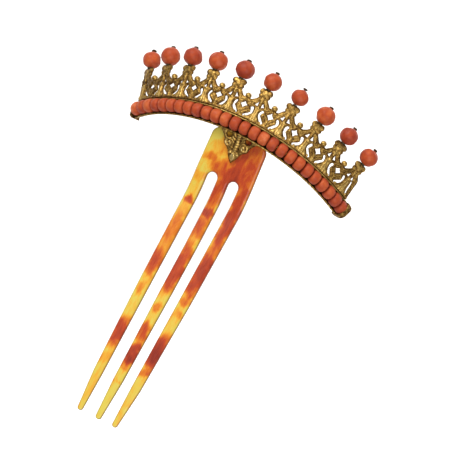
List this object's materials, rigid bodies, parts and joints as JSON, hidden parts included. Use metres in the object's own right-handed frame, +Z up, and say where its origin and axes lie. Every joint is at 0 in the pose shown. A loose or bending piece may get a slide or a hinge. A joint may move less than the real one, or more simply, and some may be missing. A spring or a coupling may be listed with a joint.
{
  "type": "decorative hair comb",
  "caption": "Hinged diadem comb: mottled shell comb with long tapering prongs and a curved, flaring pierced gilt gallery with a bead row and ball-topped spires.",
  "frame": {"origin": "middle of the comb plate's thickness on the centre line, level with the tops of the two slots between the prongs, where the hair stops the comb", "axes": "+X to the viewer's right across the comb, +Y to the back, +Z up along the prongs towards the gallery"},
  "size_m": [0.105, 0.0305, 0.1511],
  "materials": {
    "mottled_shell": "polished, translucent, mottled amber to red-brown",
    "gilt_brass": "worn matt gilding over brass, darker in the recesses",
    "coral_bead": "satin, hand-cut, brick red to salmon",
    "coral_ball": "satin, hand-cut, salmon coral",
    "dark_pin": "dark tarnished brass"
  },
  "bodies": {
    "comb": {"shell_comb": "mottled_shell", "comb_hinge_plate": "gilt_brass", "comb_rivets": "gilt_brass", "hinge_pin": "gilt_brass"},
    "gallery": {"gallery_hinge_plate": "gilt_brass", "bead_channel": "gilt_brass", "end_cap": "gilt_brass", "end_tab": "gilt_brass", "bead_wire": "gilt_brass", "bead_01": "coral_bead", "bead_02": "coral_bead", "bead_03": "coral_bead", "bead_04": "coral_bead", "bead_05": "coral_bead", "bead_06": "coral_bead", "bead_07": "coral_bead", "bead_08": "coral_bead", "bead_09": "coral_bead", "bead_10": "coral_bead", "bead_11": "coral_bead", "bead_12": "coral_bead", "bead_13": "coral_bead", "bead_14": "coral_bead", "bead_15": "coral_bead", "bead_16": "coral_bead", "bead_17": "coral_bead", "bead_18": "coral_bead", "bead_19": "coral_bead", "bead_20": "coral_bead", "bead_21": "coral_bead", "bead_22": "coral_bead", "bead_23": "coral_bead", "bead_24": "coral_bead", "bead_25": "coral_bead", "bead_26": "coral_bead", "pierced_strip": "gilt_brass", "ball_cups": "dark_pin", "ball_pins": "dark_pin", "palmette": "gilt_brass", "finial_ball_01": "coral_ball", "finial_ball_02": "coral_ball", "finial_ball_03": "coral_ball", "finial_ball_04": "coral_ball", "finial_ball_05": "coral_ball", "finial_ball_06": "coral_ball", "finial_ball_07": "coral_ball", "finial_ball_08": "coral_ball", "finial_ball_09": "coral_ball", "finial_ball_10": "coral_ball"}
  },
  "joints": [
    {"name": "gallery_hinge", "type": "hinge", "parent": "comb", "child": "gallery", "pos_m": [0, -0.00649, 0.01829], "axis": [-1, 0, 0], "range_deg": [0, 90]}
  ]
}
